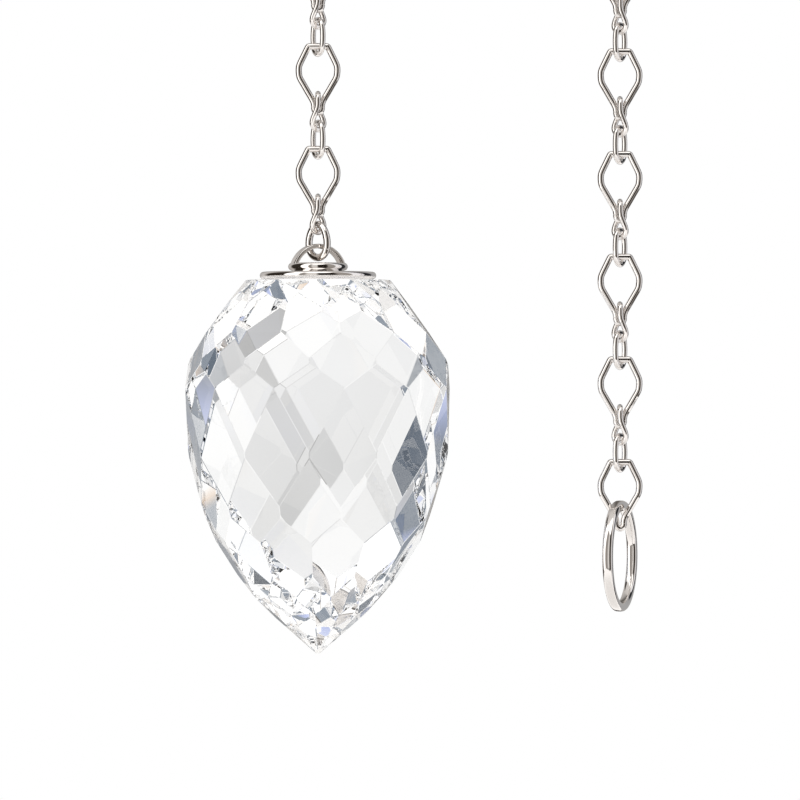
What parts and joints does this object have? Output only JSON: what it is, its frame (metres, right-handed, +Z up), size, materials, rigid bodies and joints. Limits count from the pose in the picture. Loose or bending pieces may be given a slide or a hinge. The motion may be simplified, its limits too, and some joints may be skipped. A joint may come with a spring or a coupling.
{
  "type": "pendulum pendant",
  "caption": "Faceted crystal drop in a flat cap with a bail, hung on a chain of diamond-shaped links that doubles over and ends in a plain ring.",
  "frame": {"origin": "middle of the chain's wire at the top of its turn, where it hangs", "axes": "+Z up, +X from the crystal's strand to the ring's strand, +Y away from the viewer"},
  "size_m": [0.0456, 0.0264, 0.1129],
  "materials": {
    "clear_crystal": "polished facets",
    "polished_silver": "mirror polished"
  },
  "bodies": {
    "chain": {"chain_drop_side": "polished_silver", "chain_ring_side": "polished_silver", "cap_link": "polished_silver", "end_ring": "polished_silver"},
    "drop": {"crystal": "clear_crystal", "cap": "polished_silver"}
  },
  "joints": [
    {"name": "swing", "type": "hinge", "parent": "chain", "child": "drop", "pos_m": [-0.0151, 0, -0.07001], "axis": [0.899, 0.438, 0], "range_deg": [-40, 40]}
  ]
}
